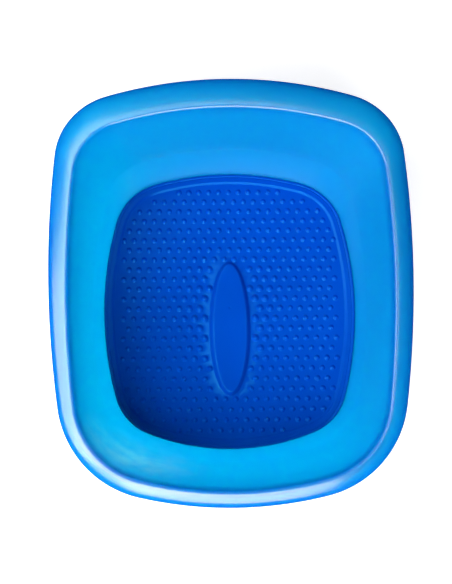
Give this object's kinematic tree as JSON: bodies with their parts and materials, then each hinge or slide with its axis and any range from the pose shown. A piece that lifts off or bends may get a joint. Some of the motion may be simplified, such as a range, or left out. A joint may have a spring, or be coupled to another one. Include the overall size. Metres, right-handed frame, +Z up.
{
  "type": "foot bath basin",
  "caption": "Rounded-rectangle foot bath basin with a broad turned-down rim and a lift-out massage floor: rows of nubs round a raised oval island.",
  "frame": {"origin": "on the ground under the middle of the rim's outline", "axes": "+Z up, +Y towards the broad end of the rim, +X to the right with the narrow end of the rim nearest"},
  "size_m": [0.329, 0.393, 0.1175],
  "materials": {
    "basin_plastic": "glossy translucent azure polypropylene",
    "massage_floor_plastic": "satin deep blue soft plastic",
    "foot_rubber": "matt dark blue rubber"
  },
  "bodies": {
    "basin": {"basin": "basin_plastic", "foot_front_left": "foot_rubber", "foot_front_right": "foot_rubber", "foot_rear_left": "foot_rubber", "foot_rear_right": "foot_rubber"},
    "massage_floor": {"massage_insert": "massage_floor_plastic"}
  },
  "joints": [
    {"name": "massage_floor_lift", "type": "slide", "parent": "basin", "child": "massage_floor", "axis": [0, 0, 1], "range_m": [0, 0.13]}
  ]
}
